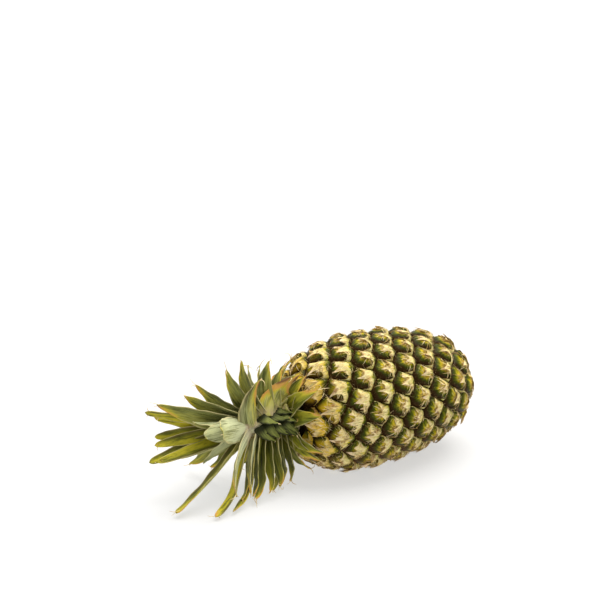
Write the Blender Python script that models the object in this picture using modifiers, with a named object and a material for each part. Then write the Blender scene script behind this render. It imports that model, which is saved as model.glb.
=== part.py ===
"""A whole pineapple, picked and lying on its side: the fruit with its eyes and bracts, the leafy
crown and the cut stalk. Metres, +Z up. The origin is on the surface that the fruit lies on, under
its widest section. The crown points to -X and the stalk to +X."""

import math

import bmesh
import bpy
import numpy as np

MM = 0.001
MERGE_DISTANCE = 0.005 * MM

# The fruit: a blunt egg, turned about its own axis, widest near the crown
FRUIT_RADIUS = 59.0 * MM  # over the eyes, at the widest section
CROWN_HALF = 67.5 * MM  # from the widest section to where the outline would close
STALK_HALF = 106.0 * MM
BLUNTNESS = 2 / 3  # the outline's radius is sin(angle) to this power
NECK_RADIUS = 21.0 * MM  # where the crown stands on the fruit
SOCKET_RADIUS = 15.0 * MM  # where the stalk stands on the fruit
FLAT_DEPTH = 2.5 * MM  # the lowest eyes are pressed this far in by the fruit's weight
AXIS_HEIGHT = FRUIT_RADIUS - FLAT_DEPTH

# The eyes: one fruitlet each, set along a spiral, each almost a golden angle on from the last
EYE_COUNT = 148
SPIRAL_ANGLE = math.radians(137.28)
LOWEST_EYE = 60  # this one lies under the widest section, where the fruit rests
EYE_HEIGHT = 4.6 * MM  # how far an eye stands out of the grooves round it
END_MARGIN = 6.5 * MM  # from each end of the outline to the first eye's centre
EYE_SIZE = 10.0 * MM  # a full-grown eye, from its centre to its groove
SMALLEST_EYE = 0.3  # the relief of the smallest eyes, as a share of a full-grown one's
EYE_RINGS = (1.0, 0.86, 0.45)  # shares of the way from an eye's centre to its groove
EDGE_STEEPNESS = 4  # how late and how steeply an eye's cushion falls to its groove
HOOD_HEIGHT = 1.3 * MM  # the bract lies this thick on the stalk side of its eye
HOOD_REACH = 0.5  # of the eye's size, where the hood has its full thickness
HOOD_SPREAD = 1.2  # how fast the hood thins to either side, in radians at the eye's corners
HOOD_EDGE = 0.95  # of the way to the groove, where the hood ends
HOOD_FOOT_RISE = 0.3 * MM  # the ring round the bract's tip
TIP_RISE = 2.2 * MM  # the bract's tip stands up and points to the crown
TIP_REACH = 4.2 * MM

# The crown: a short stem that carries all the leaves
STEM_LENGTH = 60.0 * MM
STEM_NECK_RADIUS = 15.0 * MM
STEM_TOP_RADIUS = 7.0 * MM
STEM_SIDES = 14
ROOT_FIRST = 9.5 * MM  # from the fruit's neck to the first leaf's root
ROOT_SPAN = 45.0 * MM
JOIN_GAP = 0.3 * MM  # between pieces that touch
NECK_CLEARANCE = 7.0 * MM  # from the fruit's neck to a leaf's midrib
EYE_CLEARANCE = 11.5 * MM  # from the grooves to a midrib that lies over the eyes
GROUND_CLEARANCE = 1.5 * MM
LANDING_HEIGHT = 16.0 * MM  # a leaf starts to level out this high above the ground
LANDING_SPREAD = 0.2  # how much a leaf that lands goes on outwards and ahead
LANDING_ROLL = 0.35  # how much a blade near the ground turns flat to it
SWERVE_AT_ROOT = 0.7  # the share of the swerve that is there at the root
BEND_POWER = 0.3  # 0 for an even bend, more for a bend nearer the tip
LEAF_STEPS = 24
LEAF_STATIONS = [0, 5, 11, 17, 21, 24]  # the steps where a leaf has a cross-section
SHORT_STATIONS = [0, 12, 24]
SHORT_LEAF = 20.0 * MM
FOLD_SHARES = (0.0, 0.3, 1.0)  # along the leaf
FOLD_DEGREES = (32, 24, 10)  # each half blade is folded up by this much there
BLUNT_RATE = 0.12  # how much wider than a point the tip gets for each unit of taper over 2
RIB_THICKNESS = 2.4 * MM
EDGE_THICKNESS = 0.9 * MM
TIP_HALF_WIDTH = 0.8 * MM
TURN_SCATTER = 5  # the scatter of a leaf's place and bends, in degrees
LEAN_SCATTER = 7
SWERVE_SCATTER = 8
LENGTH_SCATTER = (0.9, 1.1)
WIDTH_SCATTER = (0.92, 1.08)
SEED = 280

# Each group of leaves: how many, then the first and the last leaf's value of each measure. rank is 0 at
# the neck and 1 at the heart. turn is round the axis, 90 upwards and 180 to -Y. start is the lean from
# straight ahead at the root and end the lean at the tip. swerve is the turn to one side, most of it at
# the root, all four in degrees. Length and width are in millimetres. taper is 1 for a triangle and more
# for a strap. sag is how much the leaf's weight pulls it down. root is the share of the stem's radius
# where the leaf starts.
LEAF_MEASURES = ("rank", "turn", "length", "width", "start", "end", "swerve", "taper", "sag", "root")
LEAF_GROUPS = {
    "collar": (
        12,
        (0.0, 60, 40, 22, 92, 165, 0, 1.5, 0.0, 0.7),
        (0.06, 1572, 46, 22, 86, 150, 0, 1.5, 0.1, 0.7),
    ),
    "ladder_high": (
        4,
        (0.06, 126, 17, 16, 22, 34, 128, 1.7, 0.0, 1.0),
        (0.56, 126, 17, 16, 22, 34, 128, 1.7, 0.0, 1.0),
    ),
    "ladder_low": (
        5,
        (0.04, 158, 17, 16, 22, 34, 124, 1.7, 0.0, 1.0),
        (0.66, 158, 17, 16, 22, 34, 124, 1.7, 0.0, 1.0),
    ),
    "broad": (
        3,
        (0.02, 120, 40, 28, 34, 75, -160, 1.3, 0.0, 0.9),
        (0.84, 153, 46, 28, 20, 62, -90, 1.3, 0.0, 0.9),
    ),
    "upper": (
        7,
        (0.2, 85, 40, 23, 70, 125, 42, 1.8, 0.0, 0.45),
        (0.92, 26, 79, 22, 9, 22, 24, 2.6, 0.1, 0.45),
    ),
    "comb": (
        8,
        (0.1, 240, 55, 21, 87, 107, 0, 2.4, 0.3, 0.45),
        (0.66, 235, 62, 19, 56, 74, 0, 3.0, 0.3, 0.45),
    ),
    "comb_front": (
        2,
        (0.66, 224, 57, 15, 52, 92, 0, 2.6, 0.1, 0.45),
        (0.80, 214, 76, 17, 38, 73, 0, 2.6, 0.1, 0.45),
    ),
    "long": (
        3,
        (0.72, 232, 76, 12, 72, 66, 0, 3.2, 0.2, 0.45),
        (0.92, 236, 102, 18, 41, 34, 0, 4.4, 0.2, 0.45),
    ),
    "under": (
        4,
        (0.2, 290, 48, 18, 80, 110, 0, 2.0, 0.2, 0.45),
        (0.85, 325, 62, 16, 45, 60, 0, 3.0, 0.2, 0.45),
    ),
    "far": (
        8,
        (0.16, 40, 50, 20, 80, 120, 0, 1.6, 0.1, 0.45),
        (0.8, -40, 76, 18, 42, 60, 0, 2.6, 0.2, 0.45),
    ),
    "young": (
        6,
        (0.84, 31, 83, 13, 19, 30, 0, 4.2, 0.05, 0.45),
        (0.95, -70, 78, 13, 13, 16, 0, 4.4, 0.1, 0.45),
    ),
    "heart_left": (
        3,
        (0.9, 220, 46, 23, 14, 26, 0, 4.4, 0.0, 0.6),
        (0.96, 75, 53, 20, 9, 21, 0, 2.4, 0.0, 0.6),
    ),
    "heart_front": (
        2,
        (0.92, 152, 48, 24, 22, 53, 0, 4.0, 0.0, 0.7),
        (1.0, 20, 37, 20, 20, 40, 0, 2.0, 0.0, 0.5),
    ),
}

# The stalk: what is left of the stem that bore the fruit
STALK_LENGTH = 13.0 * MM
STALK_RADIUS = 10.0 * MM
STALK_END_SHARE = 0.94  # of the radius, at the cut end
STALK_SIDES = 20
STALK_WORN_EDGE = 0.8 * MM

SKIN_GREEN = (0.27, 0.28, 0.05)
LEAF_GREEN = (0.20, 0.27, 0.10)
STALK_BROWN = (0.42, 0.30, 0.16)


def clear_scene():
    for old in list(bpy.data.objects):
        bpy.data.objects.remove(old)


def new_collection(name):
    made = bpy.data.collections.new(name)
    bpy.context.scene.collection.children.link(made)
    return made


def plain_material(name, colour, roughness):
    material = bpy.data.materials.new(name)
    material.use_nodes = True
    shader = material.node_tree.nodes["Principled BSDF"]
    shader.inputs["Base Color"].default_value = (*colour, 1.0)
    shader.inputs["Roughness"].default_value = roughness
    shader.inputs["Metallic"].default_value = 0.0
    return material


def add_object(name, mesh, collection, material=None):
    made = bpy.data.objects.new(name, mesh)
    collection.objects.link(made)
    if material:
        mesh.materials.append(material)
    return made


def mesh_from_bmesh(name, bm):
    mesh = bpy.data.meshes.new(name)
    bm.to_mesh(mesh)
    bm.free()
    return mesh


def apply_modifiers(obj):
    """Replaces the object's mesh with what its modifiers make of it."""
    graph = bpy.context.evaluated_depsgraph_get()
    made = bpy.data.meshes.new_from_object(obj.evaluated_get(graph))
    obj.modifiers.clear()
    obj.data = made


def unit(vectors):
    return vectors / np.linalg.norm(vectors, axis=-1, keepdims=True)


def fruit_outline(radius, samples=2000):
    """The outline from neck to socket: x, radius, arc length, and the length in radii (conformal)."""
    angle = np.linspace(0.0, math.pi, samples)
    half = np.where(angle < math.pi / 2, CROWN_HALF, STALK_HALF)
    x = -half * np.cos(angle)
    rho = radius * np.sin(angle) ** BLUNTNESS
    kept = (rho > np.where(x < 0, NECK_RADIUS, SOCKET_RADIUS)) & (angle > 0) & (angle < math.pi)
    x, rho = x[kept], rho[kept]
    steps = np.hypot(np.diff(x), np.diff(rho))
    arc = np.concatenate([[0.0], np.cumsum(steps)])
    radii = np.concatenate([[0.0], np.cumsum(steps / (0.5 * (rho[1:] + rho[:-1])))])
    radii -= np.interp(0.0, x, radii)
    return {"x": x, "rho": rho, "arc": arc, "radii": radii}


def fruit_point(outline, arc, turn, height, towards_crown=0.0):
    """A point of the fruit: along the outline, round the axis, out along the normal, then to the crown."""
    x = np.interp(arc, outline["arc"], outline["x"])
    rho = np.interp(arc, outline["arc"], outline["rho"])
    slope_x = np.gradient(outline["x"], outline["arc"])
    slope_rho = np.gradient(outline["rho"], outline["arc"])
    along_x = np.interp(arc, outline["arc"], slope_x)
    along_rho = np.interp(arc, outline["arc"], slope_rho)
    x = x - along_rho * height - along_x * towards_crown
    rho = rho + along_x * height - along_rho * towards_crown
    return np.stack([x, rho * np.cos(turn), rho * np.sin(turn) + AXIS_HEIGHT], axis=-1)


def eye_centres(outline):
    """Arc length and turn of each eye: equal areas apart, a spiral angle on from the last."""
    arc, rho = outline["arc"], outline["rho"]
    area = np.concatenate([[0.0], np.cumsum(np.diff(arc) * (rho[1:] + rho[:-1]) * math.pi)])
    first = np.interp(END_MARGIN, arc, area)
    last = np.interp(arc[-1] - END_MARGIN, arc, area)
    along = np.interp(np.linspace(first, last, EYE_COUNT), area, arc)
    turn = -math.pi / 2 - (np.arange(EYE_COUNT) - LOWEST_EYE) * SPIRAL_ANGLE
    return along, turn


def on_sphere(radii, turn):
    """The conformal map of the fruit onto a unit ball, where eyes that touch are neighbours."""
    across = 1 / np.cosh(radii)
    return np.stack([across * np.cos(turn), across * np.sin(turn), np.tanh(radii)], axis=-1)


def eye_wedges(outline, along, turn):
    """One wedge for each eye and each eye that it touches: the eye's number, its centre and two corners."""
    radii = np.interp(along, outline["arc"], outline["radii"])
    centres = on_sphere(radii, turn)
    poles = np.array([[0.0, 0.0, -1.0], [0.0, 0.0, 1.0]])
    centres = np.concatenate([centres, poles])
    bm = bmesh.new()
    for number, centre in enumerate(centres):
        bm.verts.new(centre).index = number
    bmesh.ops.convex_hull(bm, input=bm.verts)
    corners = {}
    ends = (outline["radii"][0], outline["radii"][-1])
    for face in bm.faces:
        numbers = [v.index for v in face.verts]
        a, b, c = centres[numbers]
        corner = unit(np.cross(b - a, c - a))
        corner = corner * math.copysign(1.0, float(corner @ a))
        for pole, end in zip((EYE_COUNT, EYE_COUNT + 1), ends):
            if pole in numbers:
                corner = on_sphere(end, math.atan2(corner[1], corner[0]))
        corners[face] = corner
    eyes, middles, firsts, seconds = [], [], [], []
    for edge in bm.edges:
        first, second = (corners[face] for face in edge.link_faces)
        for vertex in edge.verts:
            if vertex.index >= EYE_COUNT:
                continue
            middle = centres[vertex.index]
            outward = float(np.linalg.det([middle, first, second]))
            pair = (first, second) if outward > 0 else (second, first)
            eyes.append(vertex.index)
            middles.append(middle)
            firsts.append(pair[0])
            seconds.append(pair[1])
    bm.free()
    return np.array(eyes), np.array(middles), np.array(firsts), np.array(seconds)


def relief_scale(size):
    return np.clip(size / EYE_SIZE, SMALLEST_EYE, 1.0)


def eye_relief(share, towards_crown, across, size):
    """Height over the grooves: a cushion that falls steeply at its groove, with the bract's hood on its
    stalk side. share is 0 at the centre and 1 in the groove, the rest is in metres."""
    cushion = EYE_HEIGHT * np.sqrt(np.clip(1 - share**EDGE_STEEPNESS, 0, 1))
    stalk_side = np.clip(-towards_crown / (HOOD_REACH * size), 0, 1)
    hood = HOOD_HEIGHT * stalk_side * (share < HOOD_EDGE) * np.cos(across / size * HOOD_SPREAD)
    return (cushion + hood) * relief_scale(size)


def build_fruit(collection):
    outline = fruit_outline(FRUIT_RADIUS - EYE_HEIGHT)
    along, turn = eye_centres(outline)
    eyes, middles, firsts, seconds = eye_wedges(outline, along, turn)

    def place(ends, share, rise=0.0, reach=0.0):
        ball = unit(middles + (ends - middles) * share)
        radii = np.arctanh(np.clip(ball[:, 2], -0.999999, 0.999999))
        arc = np.interp(radii, outline["radii"], outline["arc"])
        angle = np.arctan2(ball[:, 1], ball[:, 0])
        rho = np.interp(arc, outline["arc"], outline["rho"])
        towards_crown = along[eyes] - arc
        swing = angle - turn[eyes]
        across = rho * np.arctan2(np.sin(swing), np.cos(swing))
        size = cell_size[eyes]
        height = eye_relief(share, towards_crown, across, size) if share < 1 else 0.0
        scale = relief_scale(size)
        return fruit_point(outline, arc, angle, height + rise * scale, reach * scale)

    cell_size = np.full(EYE_COUNT, EYE_SIZE)
    flat = fruit_point(outline, along, turn, 0.0)[eyes]
    reach = np.linalg.norm(place(firsts, 1.0) - flat, axis=1)
    cell_size = np.bincount(eyes, reach) / np.bincount(eyes)

    groove, side, foot = EYE_RINGS
    rings = [
        [place(firsts, groove), place(seconds, groove)],
        [place(firsts, side), place(seconds, side)],
        [place(firsts, foot, HOOD_FOOT_RISE), place(seconds, foot, HOOD_FOOT_RISE)],
        [place(middles, 0.0, TIP_RISE, TIP_REACH)],
    ]
    points = np.stack([p for ring in rings for p in ring], axis=1)
    pattern = [(0, 1, 3, 2), (2, 3, 5, 4), (4, 5, 6)]
    per_wedge = points.shape[1]
    faces = [
        tuple(wedge * per_wedge + corner for corner in face)
        for wedge in range(len(eyes))
        for face in pattern
    ]
    mesh = bpy.data.meshes.new("fruit")
    mesh.from_pydata(points.reshape(-1, 3).tolist(), [], faces)
    bm = bmesh.new()
    bm.from_mesh(mesh)
    bmesh.ops.remove_doubles(bm, verts=bm.verts, dist=MERGE_DISTANCE)
    bmesh.ops.holes_fill(bm, edges=[e for e in bm.edges if e.is_boundary], sides=0)
    bmesh.ops.triangulate(bm, faces=bm.faces)
    bmesh.ops.recalc_face_normals(bm, faces=bm.faces)
    bm.to_mesh(mesh)
    bm.free()
    fruit = add_object("fruit", mesh, collection, plain_material("fruit_skin", SKIN_GREEN, 0.5))
    press_flat(fruit)
    return fruit


def press_flat(obj):
    """Takes off what would lie below the surface that the fruit rests on."""
    bm = bmesh.new()
    bmesh.ops.create_cube(bm, size=1.0)
    ground = add_object("ground_cutter", mesh_from_bmesh("ground_cutter", bm), cutters)
    ground.location.z = -0.5
    ground.hide_render = True
    ground.display_type = "WIRE"
    cut = obj.modifiers.new("resting_flat", "BOOLEAN")
    cut.operation = "DIFFERENCE"
    cut.object = ground
    cut.solver = "EXACT"


def keep_clear(place, side, width, outline):
    """Pushes points out along the fruit's outline until a leaf there lies over the eyes and bracts."""
    over = place - [0, 0, AXIS_HEIGHT]
    off_axis = np.maximum(np.hypot(over[:, 1], over[:, 2]), 0.001 * MM)
    x, rho = outline["x"][::10], outline["rho"][::10]
    x = np.concatenate([[x[0], x[0]], x])
    rho = np.concatenate([[0.0, NECK_RADIUS / 2], rho])
    nearest = np.argmin((place[:, 0, None] - x) ** 2 + (off_axis[:, None] - rho) ** 2, axis=1)
    normal = unit(np.stack([-np.gradient(rho)[nearest], np.gradient(x)[nearest]], axis=1))
    offset = np.stack([place[:, 0] - x[nearest], off_axis - rho[nearest]], axis=1)
    steep = np.interp(rho[nearest], (0.7 * NECK_RADIUS, 1.2 * NECK_RADIUS), (0, 1))
    wanted = NECK_CLEARANCE + (EYE_CLEARANCE - NECK_CLEARANCE) * steep
    turned = over[:, 1:] / off_axis[:, None] * normal[:, 1, None]
    edge_reach = np.abs(side[:, 0] * normal[:, 0] + (side[:, 1:] * turned).sum(1)) * width
    short = np.maximum(wanted + edge_reach - (offset * normal).sum(1), 0.0)
    grow = (off_axis + normal[:, 1] * short) / off_axis
    moved_x = place[:, 0] + normal[:, 0] * short
    return np.stack([moved_x, over[:, 1] * grow, over[:, 2] * grow + AXIS_HEIGHT], axis=1)


def leaf_shapes():
    """Each group's leaves, spread evenly between its first and its last, with a small seeded scatter."""
    rng = np.random.default_rng(SEED)
    groups = LEAF_GROUPS.values()
    rows = np.concatenate([np.linspace(first, last, count) for count, first, last in groups])
    shape = dict(zip(LEAF_MEASURES, rows.T))
    count = len(shape["rank"])
    shape["turn"] = np.radians(shape["turn"] + rng.normal(0, TURN_SCATTER, count))
    shape["start"] = np.radians(shape["start"])
    shape["end"] = np.radians(shape["end"] + rng.normal(0, LEAN_SCATTER, count))
    shape["length"] = shape["length"] * MM * rng.uniform(*LENGTH_SCATTER, count)
    shape["width"] = shape["width"] * MM * rng.uniform(*WIDTH_SCATTER, count)
    shape["swerve"] = np.radians(shape["swerve"] + rng.normal(0, SWERVE_SCATTER, count))
    return shape


def half_width(shape, share):
    blunt = np.clip(BLUNT_RATE * (shape["taper"] - 2), 0, 1)
    return np.maximum(shape["width"] / 2 * (1 - (1 - blunt) * share ** shape["taper"]), TIP_HALF_WIDTH)


def square_to(side, heading):
    return unit(side - (side * heading).sum(-1, keepdims=True) * heading)


def leaf_paths(shape, outline):
    """The midribs and the blades' sideways directions, step by step: each leaf leans out from the
    crown's axis, bends back, swerves and sags, settles on the ground where it meets it, and keeps clear
    of the fruit's shoulder."""
    turn = shape["turn"]
    flat = np.zeros_like(turn)
    outward = np.stack([flat, np.cos(turn), np.sin(turn)], axis=1)
    side = np.stack([flat, -np.sin(turn), np.cos(turn)], axis=1)
    ahead = np.array([-1.0, 0.0, 0.0])
    lean = shape["start"][:, None]
    yaw = SWERVE_AT_ROOT * shape["swerve"][:, None]
    level = ahead * np.cos(yaw) + side * np.sin(yaw)
    heading = outward * np.sin(lean) + level * np.cos(lean)
    side = side * np.cos(yaw) - ahead * np.sin(yaw)
    stem = np.interp(shape["rank"], (0, 1), (STEM_NECK_RADIUS, STEM_TOP_RADIUS))
    place = outward * (stem * shape["root"])[:, None]
    place[:, 0] = outline["x"][0] - ROOT_FIRST - ROOT_SPAN * shape["rank"]
    place[:, 2] += AXIS_HEIGHT
    step = shape["length"][:, None] / LEAF_STEPS
    path, sides = [place], [side]
    for number in range(LEAF_STEPS):
        share = (number + 0.5) / LEAF_STEPS
        bend = (shape["end"] - shape["start"]) / LEAF_STEPS
        bend = bend * (1 + BEND_POWER) * share**BEND_POWER
        veer = (1 - SWERVE_AT_ROOT) * shape["swerve"] * 2 * (1 - share) / LEAF_STEPS
        inner = np.cross(side, heading)
        heading = heading - inner * bend[:, None] + side * veer[:, None]
        heading[:, 2] -= shape["sag"] * 2 * share / LEAF_STEPS
        heading = unit(heading)
        width = half_width(shape, share)
        rest = width * np.abs(side[:, 2]) + GROUND_CLEARANCE
        above = place[:, 2] - rest
        landing = -above / LANDING_HEIGHT
        level = heading[:, :2] + LANDING_SPREAD * (ahead[:2] + outward[:, :2])
        level = unit(level) * np.sqrt(np.clip(1 - landing**2, 0, 1))[:, None]
        settled = np.concatenate([level, landing[:, None]], axis=1)
        heading = np.where((landing > heading[:, 2])[:, None], settled, heading)
        near = np.clip(1 - above / LANDING_HEIGHT, 0, 1)
        side = side * np.stack([flat + 1, flat + 1, 1 - LANDING_ROLL * near], axis=1)
        side = square_to(side, heading)
        place = keep_clear(place + heading * step, side, width, outline)
        place[:, 2] = np.maximum(place[:, 2], rest)
        path.append(place)
        sides.append(side)
    return np.stack(path, axis=1), np.stack(sides, axis=1)


def leaf_sections(shape, path, sides):
    """Six points round the blade at each station: a shallow trough, thick at the rib, thin at the edges."""
    heading = unit(np.gradient(path, axis=1))
    side = square_to(sides, heading)
    inner = np.cross(side, heading)
    share = np.arange(LEAF_STEPS + 1) / LEAF_STEPS
    width = np.stack([half_width(shape, s) for s in share], axis=1)
    fold = np.radians(np.interp(share, FOLD_SHARES, FOLD_DEGREES))
    rib = np.interp(share, (0, 1), (RIB_THICKNESS, EDGE_THICKNESS)) / 2
    edge = EDGE_THICKNESS / 2
    out = side * (width * np.cos(fold))[..., None]
    lift = inner * (width * np.sin(fold))[..., None]
    centre, thin, thick = path - lift / 2, inner * edge, inner * rib[:, None]
    return np.stack(
        [
            centre - out + lift - thin,
            centre - thick,
            centre + out + lift - thin,
            centre + out + lift + thin,
            centre + thick,
            centre - out + lift + thin,
        ],
        axis=2,
    )


def blade_mesh(name, sections):
    """One closed blade, lofted through its cross-sections, with every face cut the same way."""
    stations, corners = sections.shape[:2]
    faces = []
    for k in range(stations - 1):
        for c in range(corners):
            a, b = k * corners + c, k * corners + (c + 1) % corners
            faces.append((a, b, b + corners))
            faces.append((a, b + corners, a + corners))
    last = (stations - 1) * corners
    for cap in ((0, 5, 1), (1, 5, 4), (1, 4, 2), (2, 4, 3)):
        faces.append(cap)
        faces.append(tuple(last + c for c in reversed(cap)))
    mesh = bpy.data.meshes.new(name)
    mesh.from_pydata(sections.reshape(-1, 3).tolist(), [], faces)
    bm = bmesh.new()
    bm.from_mesh(mesh)
    bmesh.ops.recalc_face_normals(bm, faces=bm.faces)
    bm.to_mesh(mesh)
    bm.free()
    return mesh


def outer_skin(bm):
    """The faces that hang together with the first one, which is on the outside."""
    outermost = min(bm.verts, key=lambda vertex: vertex.co.x)
    found = {outermost.link_faces[0]}
    fresh = set(found)
    while fresh:
        edges = {edge for face in fresh for edge in face.edges if len(edge.link_faces) == 2}
        fresh = {face for edge in edges for face in edge.link_faces} - found
        found |= fresh
    return found


def fill_pockets(mesh):
    """Fills the pockets that the union shuts in between leaves."""
    bm = bmesh.new()
    bm.from_mesh(mesh)
    pockets = set(bm.faces) - outer_skin(bm)
    bmesh.ops.delete(bm, geom=list(pockets), context="FACES")
    bm.to_mesh(mesh)
    bm.free()


def build_crown(collection, outline):
    neck_x = outline["x"][0]
    bm = bmesh.new()
    bmesh.ops.create_cone(
        bm,
        cap_ends=True,
        segments=STEM_SIDES,
        radius1=STEM_NECK_RADIUS,
        radius2=STEM_TOP_RADIUS,
        depth=STEM_LENGTH,
    )
    crown = add_object("crown", mesh_from_bmesh("crown", bm), collection)
    crown.rotation_euler.y = -math.pi / 2
    crown.location = (neck_x - JOIN_GAP - STEM_LENGTH / 2, 0.0, AXIS_HEIGHT)
    crown.data.materials.append(plain_material("crown_leaf", LEAF_GREEN, 0.5))

    shape = leaf_shapes()
    path, sides = leaf_paths(shape, outline)
    sections = leaf_sections(shape, path, sides)
    leaves = new_collection("crown_leaves")
    for number in range(len(sections)):
        name = f"leaf_{number:02d}"
        stations = SHORT_STATIONS if shape["length"][number] < SHORT_LEAF else LEAF_STATIONS
        add_object(name, blade_mesh(name, sections[number, stations]), leaves)
    bpy.context.view_layer.update()
    join = crown.modifiers.new("leaves_on_stem", "BOOLEAN")
    join.operation = "UNION"
    join.operand_type = "COLLECTION"
    join.collection = leaves
    join.solver = "MANIFOLD"
    apply_modifiers(crown)
    fill_pockets(crown.data)
    for leaf in list(leaves.objects):
        bpy.data.objects.remove(leaf)
    bpy.data.collections.remove(leaves)
    return crown


def build_stalk(collection, outline):
    socket_x = outline["x"][-1]
    bm = bmesh.new()
    bmesh.ops.create_cone(
        bm,
        cap_ends=True,
        segments=STALK_SIDES,
        radius1=STALK_RADIUS,
        radius2=STALK_RADIUS * STALK_END_SHARE,
        depth=STALK_LENGTH,
    )
    stalk = add_object("stalk", mesh_from_bmesh("stalk", bm), collection)
    stalk.rotation_euler.y = math.pi / 2
    stalk.location = (socket_x + JOIN_GAP + STALK_LENGTH / 2, 0.0, AXIS_HEIGHT)
    stalk.data.materials.append(plain_material("cut_stalk", STALK_BROWN, 0.8))
    soften = stalk.modifiers.new("worn_edge", "BEVEL")
    soften.width = STALK_WORN_EDGE
    soften.segments = 1
    return stalk


clear_scene()
pineapple = new_collection("pineapple")
cutters = new_collection("cutters")
core_outline = fruit_outline(FRUIT_RADIUS - EYE_HEIGHT)
build_fruit(pineapple)
build_crown(pineapple, core_outline)
build_stalk(pineapple, core_outline)
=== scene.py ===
"""The looks of a whole pineapple that lies on its side: its eyes and bracts, its leafy crown, its cut
stalk, and the plain studio round it. Metres, +Z up, the crown points to -X."""

import math

import bmesh
import bpy
import numpy as np
from mathutils import Matrix, Vector


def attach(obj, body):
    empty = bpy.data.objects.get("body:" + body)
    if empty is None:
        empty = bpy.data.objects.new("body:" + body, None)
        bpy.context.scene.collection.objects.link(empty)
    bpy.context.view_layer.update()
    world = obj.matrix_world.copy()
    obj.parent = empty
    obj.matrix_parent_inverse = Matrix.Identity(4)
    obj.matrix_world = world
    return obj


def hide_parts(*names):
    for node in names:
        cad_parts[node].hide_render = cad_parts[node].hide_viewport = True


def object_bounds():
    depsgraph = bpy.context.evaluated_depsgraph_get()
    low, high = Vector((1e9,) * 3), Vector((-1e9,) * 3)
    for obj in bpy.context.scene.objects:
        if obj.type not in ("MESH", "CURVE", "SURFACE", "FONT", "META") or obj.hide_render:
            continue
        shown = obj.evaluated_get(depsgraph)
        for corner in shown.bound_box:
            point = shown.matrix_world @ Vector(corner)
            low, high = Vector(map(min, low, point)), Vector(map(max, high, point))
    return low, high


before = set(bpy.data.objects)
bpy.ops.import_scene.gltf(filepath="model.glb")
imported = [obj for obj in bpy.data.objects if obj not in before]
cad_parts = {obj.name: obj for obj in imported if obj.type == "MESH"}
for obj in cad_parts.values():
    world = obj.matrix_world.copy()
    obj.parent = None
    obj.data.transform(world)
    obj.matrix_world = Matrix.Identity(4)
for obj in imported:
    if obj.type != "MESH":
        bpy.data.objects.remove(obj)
cad_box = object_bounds()
MM = 0.001

# The fruit is a body of some hundred fused berries. Each shows as one eye: a leathery cushion of
# green and yellow with a dry dimple in its middle, set in a dark groove. The eyes follow a spiral.

FRUIT_RADIUS = 59.0 * MM
CROWN_HALF = 67.5 * MM
STALK_HALF = 106.0 * MM
BLUNTNESS = 2 / 3
NECK_RADIUS = 21.0 * MM
SOCKET_RADIUS = 15.0 * MM
AXIS_HEIGHT = 56.5 * MM
EYE_COUNT = 148
SPIRAL_ANGLE = math.radians(137.28)
LOWEST_EYE = 60
EYE_HEIGHT = 4.6 * MM
DOME_HEIGHT = 4.9 * MM
GROOVE_FILL = 1.3 * MM  # the grooves are drawn this much shallower than the modelled ones
END_MARGIN = 6.5 * MM
EYE_EDGE_STEPS = 7
EYE_RING_STEPS = 15
FULL_SIZE = 10.0 * MM  # an eye smaller than this is lower too
CUSHION_FLATNESS = 2.1
CUSHION_EDGE = 0.66
DIMPLE_AHEAD = 0.10  # the dry dimple lies this far towards the crown, in eye sizes
DIMPLE_DEPTH = 0.20
DIMPLE_SPREAD = 0.03
EYE_LEAN = 0.14
CORNER_ROUNDING = 8  # the power that blends an eye's outline with a circle


def unit(vectors):
    return vectors / np.linalg.norm(vectors, axis=-1, keepdims=True)


def fruit_outline(radius, samples=2000):
    """The outline from neck to stalk: along the axis as the cosine of an angle, across as its sine to
    the power of the bluntness. Gives x, radius, arc length, and the length in radii (conformal)."""
    angle = np.linspace(0.0, math.pi, samples)
    half = np.where(angle < math.pi / 2, CROWN_HALF, STALK_HALF)
    x = -half * np.cos(angle)
    rho = radius * np.sin(angle) ** BLUNTNESS
    kept = (rho > np.where(x < 0, NECK_RADIUS, SOCKET_RADIUS)) & (angle > 0) & (angle < math.pi)
    x, rho = x[kept], rho[kept]
    steps = np.hypot(np.diff(x), np.diff(rho))
    arc = np.concatenate([[0.0], np.cumsum(steps)])
    radii = np.concatenate([[0.0], np.cumsum(steps / (0.5 * (rho[1:] + rho[:-1])))])
    radii -= np.interp(0.0, x, radii)
    return {"x": x, "rho": rho, "arc": arc, "radii": radii}


def fruit_point(outline, arc, turn, height):
    """A point over the outline: so far along it, turned so far round the axis, and out along the
    outline's normal."""
    x = np.interp(arc, outline["arc"], outline["x"])
    rho = np.interp(arc, outline["arc"], outline["rho"])
    along_x = np.interp(arc, outline["arc"], np.gradient(outline["x"], outline["arc"]))
    along_rho = np.interp(arc, outline["arc"], np.gradient(outline["rho"], outline["arc"]))
    x = x - along_rho * height
    rho = rho + along_x * height
    return np.stack([x, rho * np.cos(turn), rho * np.sin(turn) + AXIS_HEIGHT], axis=-1)


def eye_centres(outline):
    """Arc length and turn of each eye: equal areas apart, a spiral angle on from the last."""
    arc, rho = outline["arc"], outline["rho"]
    area = np.concatenate([[0.0], np.cumsum(np.diff(arc) * (rho[1:] + rho[:-1]) * math.pi)])
    first = np.interp(END_MARGIN, arc, area)
    last = np.interp(arc[-1] - END_MARGIN, arc, area)
    along = np.interp(np.linspace(first, last, EYE_COUNT), area, arc)
    return along, -math.pi / 2 - (np.arange(EYE_COUNT) - LOWEST_EYE) * SPIRAL_ANGLE


def on_sphere(radii, turn):
    """The conformal map of the fruit onto a unit ball, where eyes that touch are neighbours."""
    across = 1 / np.cosh(radii)
    return np.stack([across * np.cos(turn), across * np.sin(turn), np.tanh(radii)], axis=-1)


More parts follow.
